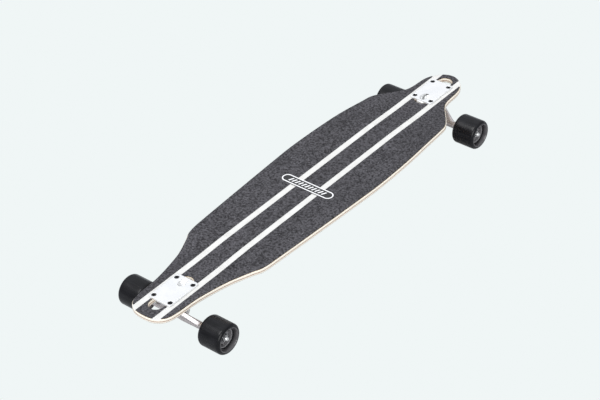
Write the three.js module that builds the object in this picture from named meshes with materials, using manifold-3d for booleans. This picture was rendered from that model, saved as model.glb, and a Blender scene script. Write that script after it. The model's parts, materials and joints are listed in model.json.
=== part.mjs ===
// A drop-through longboard skateboard: a laminated deck with two cut-outs, each holding a
// reverse-kingpin truck whose baseplate sits on the deck's top face.
// Millimetres. X is across the board, Y along it towards the nose, Z up. The origin is on the
// ground under the middle of the deck. The parts are drawn about the middle between the trucks,
// and the whole board is moved along at the end.
import * as THREE from "three";
import { mergeVertices } from "three/addons/utils/BufferGeometryUtils.js";
import { ConvexGeometry } from "three/addons/geometries/ConvexGeometry.js";
import Module from "manifold-3d";

const wasm = await Module();
wasm.setup();

// ---- driving dimensions ----

const DECK = {
  topHeight: 90, // the top face above the ground, at the trucks
  thickness: 10,
  edge: 2, // how far the rounding reaches in from the edge
  camber: 2.2, // the middle stands this far above the trucks
  concave: 2, // the sides stand this far above the centre line, at the widest place
  flatFrom: 330, // beyond this distance from the middle the deck is flat
  curvedTo: 220, // within it the camber and the concave are whole
  widest: 116, // the greatest half width
  lowPly: 0.3, // how far down the rounded edge its middle facet sits, as a part of the rounding
};
const TAIL_TIP = -494.5; // the tail's end along the board
// The right-hand edge as (half width, distance along the board), tail to waist to shoulder.
const EDGE_KNOTS = [
  [5, TAIL_TIP], [17, -493.2], [27, -490], [36, -484], [43.5, -475], [48, -462], [50.5, -440],
  [53, -400], [60, -360], [70, -320], [86, -281], [97, -256], [102, -200], [113, 0], [116, 90],
  [112, 200], [102, 300], [98, 323], [86, 343], [57, 379], [49, 400], [47, 425],
];
const NOSE = { halfWidth: 47, from: 425, length: 61, tip: 4 }; // a half ellipse closes the nose
const STRIPE = { inner: 21, outer: 34.8 }; // the bare painted stripes between the grip strips
const GRIP = { glue: 0.3, thickness: 0.8, inset: 1.4, around: 0.8 };

const TRUCK = {
  centre: 408.4, // baseplate centre from the middle of the board
  angle: 45, // the steering axis above the deck's plane, in degrees
  axleOut: -4, // the axle from the baseplate centre, positive outboard
  axleDrop: 58, // the axle below the deck's top face
  rake: 10, // the axle from the steering axis
  kingpinAt: 28, // the kingpin from the axle, along the steering axis
};
const PLATE = { halfWidth: 27, inner: -41.4, outer: 40.6, corner: 5, thickness: 4 };
const BOLT = {
  x: 20.65,
  v: 31.75,
  radius: 2.4,
  head: 4.8,
  hole: 2.8,
  length: 21.5,
  sunk: 0.5, // the head's top below the plate's
  socket: [1.9, 1.8], // the hexagon socket's radius and depth
};
const OPENING = { halfWidth: 15.5, inner: -49, outer: 62.5 }; // a slot with round ends
// The baseplate's block fills the inboard end of the opening and carries the bushing seat.
const BLOCK = { halfWidth: 14.8, roundFrom: -30, outer: 12, seatAbove: 15, seatBelow: 14.5 };
const STRUT = { halfWidth: 8.5, mouthTop: -11.5, back: -39, backDrop: 8 };
const TOWER = { radius: 10, mouth: -9.8, end: -20 };
const CUP = { radius: 8.4, bore: 5.6, from: -9.9, to: -18.2, floor: -16.6 };
const KINGPIN = {
  radius: 4.75,
  hole: 4.95,
  headSeat: -31,
  headEnd: -37.5,
  head: 8,
  headGap: 0.2,
  pocket: 8.8,
  end: 29.5,
};
const RING = { radius: 17, half: 4.5, bore: 7.5, recess: 14.3, clear: 8 };
const SEAT = -19.5; // the bushing seat, along the kingpin from the ring's centre
const BOARDSIDE = { washer: [-19.3, -17.6, 14], bushing: [-17.4, -4.7, 12.6, 14] };
const ROADSIDE = { bushing: [4.7, 15.3, 13.6, 10.6], washer: [15.5, 17.2, 11.6] };
const KINGPIN_NUT = { from: 17.4, to: 26.4, radius: 8.1 };
const HANGER = { half: 90, tube: 7, pin: 5.5, pinEnd: -16.2, pinChamfer: 1.5 };
// The web that joins the ring to the tube, as (across, along the steering axis) and thickness.
const WEB = { shoulder: [13, 11], tip: [62, 3.5], thick: 8, foot: -4, footThick: 10 };
const STEM = { from: -9.2, radius: 6.4, to: 6, endRadius: 11.5, endDown: 5 };
const AXLE = { radius: 4, half: 126, hole: 4.1 };

const WHEEL = { centre: 102.8, radius: 32, half: 27, rounding: 6.6, lip: 24.4 };
const CORE = {
  radius: 20,
  half: 16.8,
  rim: 17.4,
  hub: 13.8,
  hubHalf: 12.3,
  shoulder: 9,
  webHalf: 1.5,
  spokes: 8,
  spokeWidth: 2.6,
};
const BEARING = { outer: 10.97, seat: 11.02, bore: 4.06, width: 7, spacing: 10 };
const AXLE_NUT = { from: 115.7, to: 123.2, radius: 6.9 };
const NUT = { radius: 5.5, height: 5.5 };
const ROUND = 24; // facets round a turned piece
const MEDIUM = 16; // facets round a washer, a bearing or a wheel's core
const SMALL = 12; // facets round a screw or its hole

// ---- materials ----

const finish = (color, roughness, metalness) =>
  new THREE.MeshStandardMaterial({ color, roughness, metalness });
const MATERIALS = {
  deck: finish(0xf0dfc0, 0.5, 0),
  grip: finish(0x47444a, 0.95, 0),
  cast: finish(0xd6d6d8, 0.4, 0.8),
  steel: finish(0xb8babd, 0.3, 1),
  blackSteel: finish(0x1d1d20, 0.4, 0.8),
  bushing: finish(0xe8e2d4, 0.5, 0),
  tyre: finish(0x1c1b1d, 0.45, 0),
  core: finish(0x3a3a3e, 0.5, 0),
  cup: finish(0x202022, 0.6, 0),
};

// ---- solids ----

// A closed geometry as a manifold-3d solid, with its faces turned outwards.
function solid(geometry) {
  const bare = geometry.clone();
  bare.deleteAttribute("normal");
  bare.deleteAttribute("uv");
  const merged = mergeVertices(bare, 1e-4);
  const vertProperties = new Float32Array(merged.attributes.position.array);
  const triVerts = new Uint32Array(merged.index.array);
  const made = new wasm.Manifold(new wasm.Mesh({ numProp: 3, vertProperties, triVerts }));
  if (made.volume() > 0) return made;
  for (let i = 0; i < triVerts.length; i += 3) {
    [triVerts[i + 1], triVerts[i + 2]] = [triVerts[i + 2], triVerts[i + 1]];
  }
  return new wasm.Manifold(new wasm.Mesh({ numProp: 3, vertProperties, triVerts }));
}

// A manifold-3d solid as a three.js geometry.
function geometryOf(made) {
  const { vertProperties, triVerts } = made.getMesh();
  const geometry = new THREE.BufferGeometry();
  geometry.setAttribute("position", new THREE.BufferAttribute(vertProperties, 3));
  geometry.setIndex(new THREE.BufferAttribute(triVerts, 1));
  return geometry;
}

const join = (...pieces) => pieces.map(solid).reduce((all, piece) => all.add(piece));
const cut = (body, ...tools) => tools.map(solid).reduce((left, tool) => left.subtract(tool), body);

function mesh(name, shape, material) {
  const geometry = shape.isBufferGeometry ? geometryOf(solid(shape)) : geometryOf(shape);
  geometry.computeVertexNormals();
  const made = new THREE.Mesh(geometry, MATERIALS[material]);
  made.name = name;
  return made;
}

// A round bar between two points, or a cone when endRadius is given. Six segments make a hexagon.
function rod(radius, from, to, segments = ROUND, endRadius = radius) {
  const direction = to.clone().sub(from);
  const geometry = new THREE.CylinderGeometry(endRadius, radius, direction.length(), segments);
  const turn = new THREE.Quaternion().setFromUnitVectors(
    new THREE.Vector3(0, 1, 0),
    direction.clone().normalize(),
  );
  geometry.applyQuaternion(turn);
  return geometry.translate(...from.clone().add(to).multiplyScalar(0.5).toArray());
}

// A bar to cut a round hole with: its flats, not its corners, stand at the radius.
const drill = (radius, from, to, segments = ROUND) =>
  rod(radius / Math.cos(Math.PI / segments), from, to, segments);

// A ring turned about X from a closed profile of (x, radius) points.
function turned(profile, segments = ROUND) {
  const points = [...profile, profile[0]].map(([x, r]) => new THREE.Vector2(r, x));
  return new THREE.LatheGeometry(points, segments).rotateZ(-Math.PI / 2);
}

// A flat outline in X and Y, as a plate from low to high.
function plate(shape, low, high, curveSegments = 5) {
  const options = { depth: high - low, bevelEnabled: false, curveSegments };
  return new THREE.ExtrudeGeometry(shape, options).translate(0, 0, low);
}

// A side profile of (outboard, up) points, extruded across the board to both sides.
function sideSlab(points, halfWidth) {
  const shape = new THREE.Shape(points.map(([v, z]) => new THREE.Vector2(v, z)));
  const options = { depth: 2 * halfWidth, bevelEnabled: false };
  const geometry = new THREE.ExtrudeGeometry(shape, options).translate(0, 0, -halfWidth);
  // the shape's x becomes Y and its y becomes Z, so the depth runs along X
  const axes = new THREE.Matrix4().makeBasis(
    new THREE.Vector3(0, 1, 0),
    new THREE.Vector3(0, 0, 1),
    new THREE.Vector3(1, 0, 0),
  );
  return geometry.applyMatrix4(axes);
}

// ---- deck and grip ----

const smooth = (t) => t * t * (3 - 2 * t);

// How much of the camber and concave is left at a distance along the board: 1 inside, 0 at the trucks.
function curving(y) {
  const t = (DECK.flatFrom - Math.abs(y)) / (DECK.flatFrom - DECK.curvedTo);
  return smooth(THREE.MathUtils.clamp(t, 0, 1));
}

// The deck's top face.
function topZ(x, y) {
  const lift = DECK.camber + DECK.concave * (x / DECK.widest) ** 2;
  return DECK.topHeight + lift * curving(y);
}

// The right-hand edge, from the tail to the tip of the nose, as (half width, y) points: one every
// 10 mm round the two ends, and one every 30 mm between them.
function edgePoints() {
  const knots = EDGE_KNOTS.map(([x, y]) => new THREE.Vector2(x, y));
  const steps = 6;
  for (let i = 1; i < steps; i += 1) {
    const angle = (i / steps) * (Math.PI / 2);
    knots.push(
      new THREE.Vector2(NOSE.halfWidth * Math.cos(angle), NOSE.from + NOSE.length * Math.sin(angle)),
    );
  }
  knots.push(new THREE.Vector2(NOSE.tip, NOSE.from + NOSE.length));
  const count = 108;
  const fineEnds = 9;
  const fine = new THREE.SplineCurve(knots).getSpacedPoints(count);
  return fine.filter((_, i) => i < fineEnds || i > count - fineEnds || i % 3 === 0);
}

// A closed loft through rings of points, all with the same number of points.
function loft(rings) {
  const count = rings[0].length;
  const index = [];
  for (let i = 0; i + 1 < rings.length; i += 1) {
    for (let j = 0; j < count; j += 1) {
      const a = i * count + j;
      const b = i * count + ((j + 1) % count);
      index.push(a, b, b + count, a, b + count, a + count);
    }
  }
  const last = (rings.length - 1) * count;
  for (let j = 1; j + 1 < count; j += 1) {
    index.push(0, j + 1, j, last, last + j, last + j + 1);
  }
  const geometry = new THREE.BufferGeometry();
  geometry.setAttribute("position", new THREE.Float32BufferAttribute(rings.flat(2), 3));
  geometry.setIndex(index);
  return geometry;
}

// One cross-section of the deck: across the top, round the edge, back along the underside.
function deckRing({ x: half, y }) {
  const flat = half - DECK.edge;
  const depth = DECK.thickness;
  const soft = DECK.lowPly * DECK.edge;
  const top = [-1, -2 / 3, -1 / 3, 0, 1 / 3, 2 / 3, 1].map((part) => [part * flat, 0]);
  const side = [
    [half - soft, soft],
    [half, DECK.edge],
    [half, depth - DECK.edge],
    [half - soft, depth - soft],
  ];
  const bottom = [1, 0.5, 0, -0.5, -1].map((part) => [part * flat, depth]);
  const back = side.map(([x, down]) => [-x, down]).reverse();
  return [...top, ...side, ...bottom, ...back].map(([x, down]) => [x, y, topZ(x, y) - down]);
}

// The slot that a truck hangs through, as an outline about the baseplate's centre.
function openingShape(margin = 0) {
  const half = OPENING.halfWidth;
  const shape = new THREE.Shape();
  shape.absarc(0, OPENING.outer - half, half + margin, 0, Math.PI, false);
  shape.absarc(0, OPENING.inner + half, half + margin, Math.PI, 2 * Math.PI, false);
  return shape;
}

// The baseplate's outline, with rounded corners.
function plateShape(margin = 0) {
  const half = PLATE.halfWidth + margin;
  const inner = PLATE.inner - margin;
  const outer = PLATE.outer + margin;
  const corner = PLATE.corner;
  const shape = new THREE.Shape();
  shape.absarc(half - corner, inner + corner, corner, -Math.PI / 2, 0, false);
  shape.absarc(half - corner, outer - corner, corner, 0, Math.PI / 2, false);
  shape.absarc(corner - half, outer - corner, corner, Math.PI / 2, Math.PI, false);
  shape.absarc(corner - half, inner + corner, corner, Math.PI, 1.5 * Math.PI, false);
  return shape;
}

// The two ends of the board: which way is outboard, and the turn that points a truck that way.
const ENDS = [
  { name: "front", sign: 1, turn: 0 },
  { name: "rear", sign: -1, turn: Math.PI },
];
const BOLT_PLACES = [
  [1, 1],
  [-1, 1],
  [-1, -1],
  [1, -1],
];

const atEnd = (geometry, end) => geometry.rotateZ(end.turn).translate(0, end.sign * TRUCK.centre, 0);

function deck() {
  const low = DECK.topHeight - DECK.thickness - 1;
  const high = DECK.topHeight + 1;
  const tools = ENDS.flatMap((end) => [
    atEnd(plate(openingShape(), low, high), end),
    ...BOLT_PLACES.map(([i, j]) => {
      const x = i * BOLT.x;
      const v = j * BOLT.v;
      const at = (z) => new THREE.Vector3(x, v, z);
      return atEnd(drill(BOLT.hole, at(low), at(high), SMALL), end);
    }),
  ]);
  return mesh("deck", cut(solid(loft(edgePoints().map(deckRing))), ...tools), "deck");
}

// One cross-section of a grip strip between two distances across the board.
function gripRing(from, to, y) {
  const across = [0, 0.5, 1].map((part) => THREE.MathUtils.lerp(from, to, part));
  const at = (height) => across.map((x) => [x, y, topZ(x, y) + height]);
  return [...at(GRIP.glue), ...at(GRIP.glue + GRIP.thickness).reverse()];
}

function sideGrip(name, side) {
  const least = STRIPE.outer + GRIP.inset + 0.5;
  const rings = edgePoints()
    .filter(({ x: half }) => half > least)
    .map(({ x: half, y }) => gripRing(side * STRIPE.outer, side * (half - GRIP.inset), y));
  return mesh(name, loft(rings), "grip");
}

// The strip between the stripes, ending where each baseplate and its slot start.
function centreGrip() {
  const length = TRUCK.centre + PLATE.inner + 2;
  const inside = edgePoints().map(({ y }) => y).filter((y) => Math.abs(y) < length - 1);
  const rings = [-length, ...inside, length].map((y) => gripRing(-STRIPE.inner, STRIPE.inner, y));
  const tools = ENDS.flatMap((end) =>
    [plateShape(GRIP.around), openingShape(GRIP.around)].map((shape) =>
      atEnd(plate(shape, DECK.topHeight - 1, DECK.topHeight + 5), end),
    ),
  );
  return mesh("grip_centre", cut(solid(loft(rings)), ...tools), "grip");
}

// ---- truck ----

const TILT = THREE.MathUtils.degToRad(TRUCK.angle);
const STEER = new THREE.Vector3(0, Math.cos(TILT), Math.sin(TILT));
const DOWN_KINGPIN = new THREE.Vector3(0, Math.sin(TILT), -Math.cos(TILT));
const AXLE_POINT = new THREE.Vector3(0, TRUCK.axleOut, -TRUCK.axleDrop);
const STEER_POINT = AXLE_POINT.clone().addScaledVector(DOWN_KINGPIN, -TRUCK.rake);

// A point in the truck's steering frame: along the steering axis, along the kingpin, and across.
function steer(along, down, across = 0) {
  const point = STEER_POINT.clone().addScaledVector(STEER, along);
  point.addScaledVector(DOWN_KINGPIN, down);
  point.x = across;
  return point;
}

const onKingpin = (down) => steer(TRUCK.kingpinAt, down);

function baseplate(name) {
  const profileAt = (along, down) => {
    const { y, z } = steer(along, down);
    return [y, z];
  };
  const seatTop = profileAt(TRUCK.kingpinAt + BLOCK.seatAbove, SEAT);
  const seatFoot = profileAt(TRUCK.kingpinAt - BLOCK.seatBelow, SEAT);
  const back = BLOCK.roundFrom - BLOCK.halfWidth;
  const block = [[back, 1], [BLOCK.outer, 1], seatTop, seatFoot, [STRUT.back, seatFoot[1]]];
  const strut = [
    [back, 0],
    seatTop,
    seatFoot,
    profileAt(TOWER.mouth, STRUT.mouthTop),
    profileAt(TOWER.mouth, TOWER.radius),
    profileAt(TOWER.end, TOWER.radius),
    profileAt(TOWER.end, -TOWER.radius),
    [STRUT.back, seatFoot[1] - STRUT.backDrop],
  ];
  const roundEnd = new THREE.Shape();
  roundEnd.moveTo(BLOCK.halfWidth, BLOCK.outer + 1);
  roundEnd.lineTo(-BLOCK.halfWidth, BLOCK.outer + 1);
  roundEnd.absarc(0, BLOCK.roundFrom, BLOCK.halfWidth, Math.PI, 2 * Math.PI, false);
  const hanging = join(
    sideSlab(block, BLOCK.halfWidth),
    sideSlab(strut, STRUT.halfWidth),
    rod(TOWER.radius, steer(TOWER.mouth, 0), steer(TOWER.end, 0)),
  ).intersect(solid(plate(roundEnd, -TRUCK.axleDrop - 20, 1)));
  const body = solid(plate(plateShape(), 0, PLATE.thickness)).add(hanging);
  const sinkTop = PLATE.thickness + 0.2;
  const sinkFoot = PLATE.thickness - BOLT.sunk - (BOLT.head - BOLT.radius) - 0.2;
  const boltHoles = BOLT_PLACES.flatMap(([i, j]) => {
    const at = (z) => new THREE.Vector3(i * BOLT.x, j * BOLT.v, z);
    return [
      drill(BOLT.hole, at(-1), at(sinkTop), SMALL),
      rod(BOLT.hole, at(sinkFoot), at(sinkTop), SMALL, BOLT.hole + sinkTop - sinkFoot),
    ];
  });
  const outside = -80; // along the kingpin, well above the plate
  const tools = [
    drill(KINGPIN.hole, onKingpin(SEAT + 5), onKingpin(KINGPIN.headSeat - 1)),
    drill(KINGPIN.pocket, onKingpin(KINGPIN.headSeat), onKingpin(outside)),
    drill(CUP.radius + 0.15, steer(TOWER.mouth + 1, 0), steer(CUP.to - 0.2, 0)),
    ...boltHoles,
  ];
  return mesh(name, cut(body, ...tools), "cast");
}

// A ring of points about the steering axis.
function circleAt(radius, along, down, count = 12) {
  return Array.from({ length: count }, (_, i) => {
    const angle = (2 * Math.PI * i) / count;
    return steer(along, down + radius * Math.sin(angle), radius * Math.cos(angle));
  });
}

function hanger(name) {
  const [shoulderX, shoulderAlong] = WEB.shoulder;
  const [tipX, tipAlong] = WEB.tip;
  const web = [-1, 1].flatMap((side) => [
    [TRUCK.kingpinAt + shoulderAlong, 0, side * shoulderX, WEB.thick],
    [tipAlong, TRUCK.rake, side * tipX, WEB.thick],
    [WEB.foot, TRUCK.rake, side * tipX, WEB.footThick],
  ]);
  const webPoints = web.flatMap(([along, down, across, thick]) => [
    steer(along, down - thick / 2, across),
    steer(along, down + thick / 2, across),
  ]);
  const end = (side) => new THREE.Vector3(side * HANGER.half, 0, 0).add(AXLE_POINT);
  const chamferFrom = HANGER.pinEnd + HANGER.pinChamfer;
  const body = join(
    rod(RING.radius, onKingpin(-RING.half), onKingpin(RING.half)),
    new ConvexGeometry(webPoints),
    rod(HANGER.tube, end(-1), end(1)),
    new ConvexGeometry([
      ...circleAt(STEM.radius, STEM.from, 0),
      ...circleAt(STEM.endRadius, STEM.to, STEM.endDown),
    ]),
    rod(HANGER.pin, steer(STEM.from + 1, 0), steer(chamferFrom, 0)),
    rod(
      HANGER.pin,
      steer(chamferFrom, 0),
      steer(HANGER.pinEnd, 0),
      ROUND,
      HANGER.pin - HANGER.pinChamfer,
    ),
  );
  const past = new THREE.Vector3(HANGER.half + 1, 0, 0);
  const seatDepth = 16;
  const tools = [
    drill(RING.bore, onKingpin(-RING.half - RING.clear), onKingpin(RING.half + RING.clear)),
    drill(RING.recess, onKingpin(RING.half), onKingpin(RING.half + seatDepth)),
    drill(RING.recess, onKingpin(-RING.half), onKingpin(-RING.half - seatDepth)),
    drill(AXLE.hole, AXLE_POINT.clone().sub(past), AXLE_POINT.clone().add(past)),
  ];
  return mesh(name, cut(body, ...tools), "cast");
}

function pivotCup(name) {
  const body = solid(rod(CUP.radius, steer(CUP.from, 0), steer(CUP.to, 0)));
  return mesh(name, cut(body, drill(CUP.bore, steer(CUP.from + 1, 0), steer(CUP.floor, 0))), "cup");
}

function kingpin(name) {
  const shank = rod(KINGPIN.radius, onKingpin(KINGPIN.headSeat - 1), onKingpin(KINGPIN.end));
  const headFrom = onKingpin(KINGPIN.headSeat - KINGPIN.headGap);
  const head = rod(KINGPIN.head, headFrom, onKingpin(KINGPIN.headEnd), 6);
  return mesh(name, join(shank, head), "steel");
}

// A washer or a bushing round the kingpin, with its own radius at each end.
function collar(from, to, radius, endRadius) {
  const body = solid(rod(radius, onKingpin(from), onKingpin(to), MEDIUM, endRadius));
  return cut(body, drill(KINGPIN.hole, onKingpin(from - 1), onKingpin(to + 1), MEDIUM));
}

function hexNut(radius, from, to, hole) {
  const beyond = to.clone().sub(from).normalize();
  const bore = drill(hole, from.clone().sub(beyond), to.clone().add(beyond), SMALL);
  return cut(solid(rod(radius, from, to, 6)), bore);
}

function deckBolt(name, i, j) {
  const at = (z) => new THREE.Vector3(i * BOLT.x, j * BOLT.v, z);
  const top = PLATE.thickness - BOLT.sunk;
  const cone = BOLT.head - BOLT.radius;
  const body = join(
    rod(BOLT.radius, at(top - BOLT.length), at(top - 1), SMALL),
    rod(BOLT.radius, at(top - cone), at(top), SMALL, BOLT.head),
  );
  const [socketRadius, socketDepth] = BOLT.socket;
  const socket = rod(socketRadius, at(top - socketDepth), at(top + 1), 6);
  return mesh(name, cut(body, socket), "blackSteel");
}

function deckNut(name, i, j) {
  const at = (z) => new THREE.Vector3(i * BOLT.x, j * BOLT.v, z);
  const under = -DECK.thickness;
  return mesh(name, hexNut(NUT.radius, at(under - NUT.height), at(under), BOLT.radius + 0.1), "steel");
}

// ---- wheels, each about its own centre with +X pointing away from the board ----

// The tyre's section: the bore over the core, then out over the lip and round to the tread.
function tyreProfile() {
  const centre = WHEEL.half - WHEEL.rounding;
  const low = WHEEL.radius - WHEEL.rounding;
  const steps = 2;
  const bore = (CORE.radius + 0.05) / Math.cos(Math.PI / ROUND);
  const side = [
    [CORE.half, bore],
    [WHEEL.half, WHEEL.lip],
  ];
  for (let i = 0; i <= steps; i += 1) {
    const angle = (i / steps) * (Math.PI / 2);
    side.push([
      centre + WHEEL.rounding * Math.cos(angle),
      low + WHEEL.rounding * Math.sin(angle),
    ]);
  }
  return [...side, ...side.map(([x, r]) => [-x, r]).reverse()];
}

function core(name) {
  const seatHalf = BEARING.spacing / 2;
  const seat = BEARING.seat / Math.cos(Math.PI / MEDIUM);
  const side = [
    [seatHalf, CORE.shoulder],
    [seatHalf, seat],
    [CORE.hubHalf, seat],
    [CORE.hubHalf, CORE.hub],
  ];
  const hub = turned([...side, ...side.map(([x, r]) => [-x, r]).reverse()], MEDIUM);
  const rim = turned([
    [CORE.half, CORE.rim],
    [CORE.half, CORE.radius],
    [-CORE.half, CORE.radius],
    [-CORE.half, CORE.rim],
  ], MEDIUM);
  const web = turned([
    [CORE.webHalf, CORE.hub - 1],
    [CORE.webHalf, CORE.rim + 1],
    [-CORE.webHalf, CORE.rim + 1],
    [-CORE.webHalf, CORE.hub - 1],
  ], MEDIUM);
  const overlap = 0.8;
  const spokes = Array.from({ length: CORE.spokes }, (_, i) => {
    const reach = CORE.rim - CORE.hub + 2 * overlap;
    const spoke = new THREE.BoxGeometry(2 * CORE.hubHalf - 2, CORE.spokeWidth, reach);
    spoke.translate(0, 0, (CORE.rim + CORE.hub) / 2);
    return spoke.rotateX((2 * Math.PI * i) / CORE.spokes);
  });
  return mesh(name, join(hub, rim, web, ...spokes), "core");
}

function bearing(name, side) {
  const near = (side * BEARING.spacing) / 2;
  const far = near + side * BEARING.width;
  const bore = BEARING.bore / Math.cos(Math.PI / MEDIUM);
  const profile = [[near, bore], [near, BEARING.outer], [far, BEARING.outer], [far, bore]];
  return mesh(name, turned(profile, MEDIUM), "steel");
}

function wheel(name) {
  const group = new THREE.Group();
  group.add(
    mesh(`${name}_tyre`, turned(tyreProfile()), "tyre"),
    core(`${name}_core`),
    bearing(`${name}_inner_bearing`, -1),
    bearing(`${name}_outer_bearing`, 1),
  );
  const from = new THREE.Vector3(AXLE_NUT.from - WHEEL.centre, 0, 0);
  const to = new THREE.Vector3(AXLE_NUT.to - WHEEL.centre, 0, 0);
  group.add(mesh(`${name}_axle_nut`, hexNut(AXLE_NUT.radius, from, to, AXLE.hole), "steel"));
  return group;
}

function truck({ name, sign, turn }) {
  const group = new THREE.Group();
  group.add(baseplate(`${name}_baseplate`), pivotCup(`${name}_pivot_cup`));
  group.add(kingpin(`${name}_kingpin`));
  const { from, to, radius } = KINGPIN_NUT;
  const nut = hexNut(radius, onKingpin(from), onKingpin(to), KINGPIN.hole);
  group.add(mesh(`${name}_kingpin_nut`, nut, "steel"));
  const rings = { boardside: BOARDSIDE, roadside: ROADSIDE };
  for (const [place, { washer, bushing }] of Object.entries(rings)) {
    const [washerFrom, washerTo, washerRadius] = washer;
    const [start, end, startRadius, endRadius] = bushing;
    const disc = collar(washerFrom, washerTo, washerRadius, washerRadius);
    group.add(mesh(`${name}_${place}_washer`, disc, "steel"));
    const soft = collar(start, end, startRadius, endRadius);
    group.add(mesh(`${name}_${place}_bushing`, soft, "bushing"));
  }
  group.add(hanger(`${name}_hanger`));
  const half = new THREE.Vector3(AXLE.half, 0, 0);
  const axle = rod(AXLE.radius, AXLE_POINT.clone().sub(half), AXLE_POINT.clone().add(half));
  group.add(mesh(`${name}_axle`, axle, "steel"));
  BOLT_PLACES.forEach(([i, j], k) => {
    group.add(deckBolt(`${name}_deck_bolt_${k + 1}`, i, j));
    group.add(deckNut(`${name}_deck_nut_${k + 1}`, i, j));
  });
  for (const side of [-1, 1]) {
    const hand = side * sign > 0 ? "right" : "left";
    const one = wheel(`${name}_${hand}`);
    one.position.copy(AXLE_POINT).setX(side * WHEEL.centre);
    one.rotation.z = side > 0 ? 0 : Math.PI;
    group.add(one);
  }
  group.position.set(0, sign * TRUCK.centre, DECK.topHeight);
  group.rotation.z = turn;
  return group;
}

const board = new THREE.Group();
board.add(deck(), sideGrip("grip_left", -1), centreGrip(), sideGrip("grip_right", 1));
board.add(...ENDS.map(truck));
board.position.y = -(NOSE.from + NOSE.length + TAIL_TIP) / 2;

const longboard = new THREE.Group();
longboard.add(board);

export default longboard;
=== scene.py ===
"""The looks of a drop-through longboard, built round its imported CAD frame.

Sizes are millimetres in the row frame: X across, Y towards the nose, Z up from the ground. MM turns
them into Blender's metres. Parts that repeat are made once as a prototype and stamped in place.
"""

import json
import math

import bmesh
import bpy
import numpy as np
from mathutils import Matrix, Vector


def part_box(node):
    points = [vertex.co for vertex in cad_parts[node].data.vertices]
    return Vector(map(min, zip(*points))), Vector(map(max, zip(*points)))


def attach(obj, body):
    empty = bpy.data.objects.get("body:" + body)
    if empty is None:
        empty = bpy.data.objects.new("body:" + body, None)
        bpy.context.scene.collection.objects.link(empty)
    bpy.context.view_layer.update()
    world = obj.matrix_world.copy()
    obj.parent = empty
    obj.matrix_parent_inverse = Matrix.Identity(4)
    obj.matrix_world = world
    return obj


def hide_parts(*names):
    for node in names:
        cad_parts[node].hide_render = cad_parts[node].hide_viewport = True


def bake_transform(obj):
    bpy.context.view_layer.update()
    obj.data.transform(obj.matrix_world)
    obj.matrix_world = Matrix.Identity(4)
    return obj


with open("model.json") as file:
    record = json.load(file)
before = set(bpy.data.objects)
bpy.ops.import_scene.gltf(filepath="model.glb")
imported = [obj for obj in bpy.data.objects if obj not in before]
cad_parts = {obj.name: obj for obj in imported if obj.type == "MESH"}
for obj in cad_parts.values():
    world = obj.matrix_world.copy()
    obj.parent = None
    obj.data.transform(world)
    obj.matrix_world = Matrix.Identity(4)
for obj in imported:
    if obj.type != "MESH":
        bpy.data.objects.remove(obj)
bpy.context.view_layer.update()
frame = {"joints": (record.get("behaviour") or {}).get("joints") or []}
MM = 0.001

# ---- sizes shared with the frame ----

JOINTS = {j["name"]: j for j in frame["joints"]}
DECK_THICKNESS = 10.0
DECK_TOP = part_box("front_deck_nut_1")[1].z / MM + DECK_THICKNESS
DECK_EDGE = 2.0
CAMBER, CONCAVE, WIDEST = 2.2, 2.0, 116.0
FLAT_FROM, CURVED_TO = 330.0, 220.0
EDGE_KNOTS = [
    (5, -494.5), (17, -493.2), (27, -490), (36, -484), (43.5, -475), (48, -462), (50.5, -440),
    (53, -400), (60, -360), (70, -320), (86, -281), (97, -256), (102, -200), (113, 0), (116, 90),
    (112, 200), (102, 300), (98, 323), (86, 343), (57, 379), (49, 400), (47, 425),
]
NOSE_HALF_WIDTH, NOSE_FROM, NOSE_LENGTH = 47.0, 425.0, 61.0
STRIPE_INNER, STRIPE_OUTER = 21.0, 34.8
GRIP_HEIGHT, GRIP_INSET = 1.0, 1.4


def bolt_pattern_y(end):
    """The middle of a truck's deck bolts along the board, in millimetres."""
    return (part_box(f"{end}_deck_bolt_1")[0].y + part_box(f"{end}_deck_bolt_4")[1].y) / 2 / MM


# The deck's pieces and the trucks are drawn about the middle between the two bolt patterns.
MIDDLE_Y = (bolt_pattern_y("front") + bolt_pattern_y("rear")) / 2
TRUCK_CENTRE = bolt_pattern_y("front") - MIDDLE_Y
PLATE_HALF_WIDTH, PLATE_INNER, PLATE_OUTER, PLATE_CORNER = 27.0, -41.4, 40.6, 5.0
PLATE_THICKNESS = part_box("front_baseplate")[1].z / MM - DECK_TOP
BOLT_X, BOLT_V, BOLT_RADIUS, BOLT_HOLE = 20.65, 31.75, 2.4, 2.8
OPENING_HALF, OPENING_INNER, OPENING_OUTER = 15.5, -49.0, 62.5
BLOCK_ROUND_FROM = -30.0
KINGPIN_AT, KINGPIN_RADIUS, KINGPIN_BORE = 28.0, 4.75, 4.95
HANGER_HALF = 90.0
AXLE_RADIUS, AXLE_HALF = 4.0, 126.0
RAKE = 10.0
ENDS = {"front": 1, "rear": -1}
HANDS = {"left": -1, "right": 1}


# ---- mesh kit ----


def link(name, mesh):
    """A new object that shows a mesh."""
    obj = bpy.data.objects.new(name, mesh)
    bpy.context.scene.collection.objects.link(obj)
    return obj


def solid(name, points, faces):
    """A closed mesh from points in millimetres, with its faces turned outwards."""
    mesh = bpy.data.meshes.new(name)
    mesh.from_pydata([tuple(c * MM for c in p) for p in points], [], faces)
    bm = bmesh.new()
    bm.from_mesh(mesh)
    bmesh.ops.remove_doubles(bm, verts=bm.verts, dist=1e-7)
    bmesh.ops.recalc_face_normals(bm, faces=bm.faces)
    bm.to_mesh(mesh)
    bm.free()
    return link(name, mesh)


def loft(name, rings):
    """A closed mesh through rings of the same number of points, with flat ends."""
    count = len(rings[0])
    faces = []
    for i in range(len(rings) - 1):
        for j in range(count):
            a, b = i * count + j, i * count + (j + 1) % count
            faces.append((a, b, b + count, a + count))
    last = (len(rings) - 1) * count
    faces.append(tuple(reversed(range(count))))
    faces.append(tuple(range(last, last + count)))
    return solid(name, [p for ring in rings for p in ring], faces)


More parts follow.
